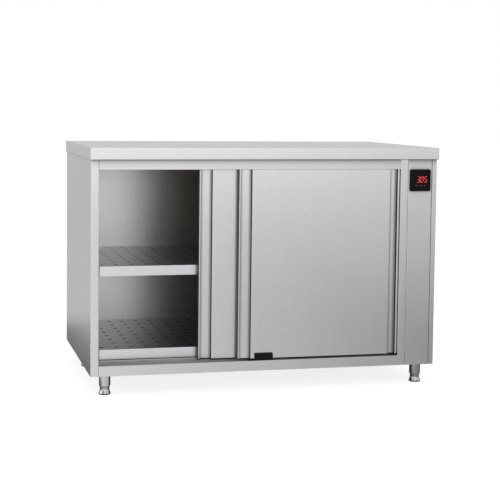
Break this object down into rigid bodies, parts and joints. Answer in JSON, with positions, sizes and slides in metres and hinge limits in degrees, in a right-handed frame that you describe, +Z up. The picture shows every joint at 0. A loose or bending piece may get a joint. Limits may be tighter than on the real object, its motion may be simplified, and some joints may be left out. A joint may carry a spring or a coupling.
{
  "type": "plate warmer cabinet",
  "caption": "Steel plate warmer cabinet with overlapping sliding doors, perforated shelves, a fan-heated insulated chamber, a technical column with thermostat, and levelling feet.",
  "frame": {"origin": "on the floor, under the centre of the worktop", "axes": "+X to the right along the front, +Y to the back, +Z up; the doors and the thermostat face -Y"},
  "size_m": [1.2, 0.7, 0.816],
  "materials": {
    "satin_steel": "satin",
    "inner_steel": "satin",
    "galvanised_steel": "matte",
    "mineral_wool": "matte",
    "black_plastic": "satin",
    "buffer_rubber": "matte",
    "roller_nylon": "satin",
    "foot_steel": "polished",
    "display_glass": "gloss",
    "heater_steel": "matte",
    "fan_aluminium": "satin",
    "terminal_plastic": "matte",
    "wire_rubber": "matte",
    "probe_steel": "satin"
  },
  "bodies": {
    "carcass": {"worktop": "satin_steel", "worktop_stiffeners": "galvanised_steel", "left_side_panel": "satin_steel", "right_side_panel": "satin_steel", "back_panel": "satin_steel", "base_panel": "galvanised_steel", "top_rail": "satin_steel", "bottom_rail": "satin_steel", "right_post": "satin_steel", "control_fascia": "satin_steel", "chamber_left_wall": "inner_steel", "chamber_right_wall": "inner_steel", "chamber_back_wall": "inner_steel", "chamber_ceiling": "inner_steel", "chamber_floor": "inner_steel", "side_insulation": "mineral_wool", "back_insulation": "mineral_wool", "ceiling_insulation": "mineral_wool", "floor_insulation": "mineral_wool", "door_track": "galvanised_steel", "track_buffers": "buffer_rubber", "door_guide": "black_plastic", "shelf_uprights": "inner_steel", "shelf_clips": "inner_steel", "heater_duct": "galvanised_steel", "heating_element": "heater_steel", "fan_grille": "inner_steel", "fan_motor": "galvanised_steel", "overheat_cutout": "black_plastic", "thermostat_body": "black_plastic", "thermostat_bezel": "black_plastic", "thermostat_glass": "display_glass", "temperature_probe": "probe_steel", "terminal_block": "terminal_plastic", "wiring_loom": "wire_rubber", "service_cover": "satin_steel", "cable_gland": "black_plastic", "leg_sockets": "foot_steel", "screws": "probe_steel"},
    "front_door": {"front_door_skin": "satin_steel", "front_door_liner": "inner_steel", "front_door_core": "mineral_wool", "front_door_hangers": "galvanised_steel"},
    "rear_door": {"rear_door_skin": "satin_steel", "rear_door_liner": "inner_steel", "rear_door_core": "mineral_wool", "rear_door_hangers": "galvanised_steel"},
    "front_rollers_left": {"front_roller_left": "roller_nylon"},
    "front_rollers_right": {"front_roller_right": "roller_nylon"},
    "rear_rollers_left": {"rear_roller_left": "roller_nylon"},
    "rear_rollers_right": {"rear_roller_right": "roller_nylon"},
    "fan_rotor": {"fan_impeller": "fan_aluminium", "fan_shaft": "probe_steel"},
    "middle_shelf": {"middle_shelf": "inner_steel"},
    "bottom_shelf": {"bottom_shelf": "inner_steel"},
    "front_left_foot": {"foot_front_left": "foot_steel"},
    "front_right_foot": {"foot_front_right": "foot_steel"},
    "rear_left_foot": {"foot_rear_left": "foot_steel"},
    "rear_right_foot": {"foot_rear_right": "foot_steel"}
  },
  "joints": [
    {"name": "front_door_slide", "type": "slide", "parent": "carcass", "child": "front_door", "axis": [1, 0, 0], "range_m": [-0.468, 0]},
    {"name": "rear_door_slide", "type": "slide", "parent": "carcass", "child": "rear_door", "axis": [1, 0, 0], "range_m": [-0.338, 0.13]},
    {"name": "front_left_roller_spin", "type": "hinge", "parent": "front_door", "child": "front_rollers_left", "pos_m": [-0.071, -0.322, 0.7642], "axis": [0, 1, 0], "continuous": true},
    {"name": "front_right_roller_spin", "type": "hinge", "parent": "front_door", "child": "front_rollers_right", "pos_m": [0.435, -0.322, 0.7642], "axis": [0, 1, 0], "continuous": true},
    {"name": "rear_left_roller_spin", "type": "hinge", "parent": "rear_door", "child": "rear_rollers_left", "pos_m": [-0.201, -0.297, 0.7642], "axis": [0, 1, 0], "continuous": true},
    {"name": "rear_right_roller_spin", "type": "hinge", "parent": "rear_door", "child": "rear_rollers_right", "pos_m": [0.305, -0.297, 0.7642], "axis": [0, 1, 0], "continuous": true},
    {"name": "fan_spin", "type": "hinge", "parent": "carcass", "child": "fan_rotor", "pos_m": [0.497, 0.01, 0.286], "axis": [1, 0, 0], "continuous": true},
    {"name": "middle_shelf_lift", "type": "slide", "parent": "carcass", "child": "middle_shelf", "axis": [0, 0, 1], "range_m": [0, 0.04]},
    {"name": "bottom_shelf_lift", "type": "slide", "parent": "carcass", "child": "bottom_shelf", "axis": [0, 0, 1], "range_m": [0, 0.04]},
    {"name": "front_left_foot_screw", "type": "slide", "parent": "carcass", "child": "front_left_foot", "axis": [0, 0, -1], "range_m": [0, 0.035]},
    {"name": "front_right_foot_screw", "type": "slide", "parent": "carcass", "child": "front_right_foot", "axis": [0, 0, -1], "range_m": [0, 0.035]},
    {"name": "rear_left_foot_screw", "type": "slide", "parent": "carcass", "child": "rear_left_foot", "axis": [0, 0, -1], "range_m": [0, 0.035]},
    {"name": "rear_right_foot_screw", "type": "slide", "parent": "carcass", "child": "rear_right_foot", "axis": [0, 0, -1], "range_m": [0, 0.035]}
  ],
  "couplings": [
    {"joint": "front_left_roller_spin", "follows": "front_door_slide", "rad_per_m": 133.33},
    {"joint": "front_right_roller_spin", "follows": "front_door_slide", "rad_per_m": 133.33},
    {"joint": "rear_left_roller_spin", "follows": "rear_door_slide", "rad_per_m": 133.33},
    {"joint": "rear_right_roller_spin", "follows": "rear_door_slide", "rad_per_m": 133.33}
  ]
}
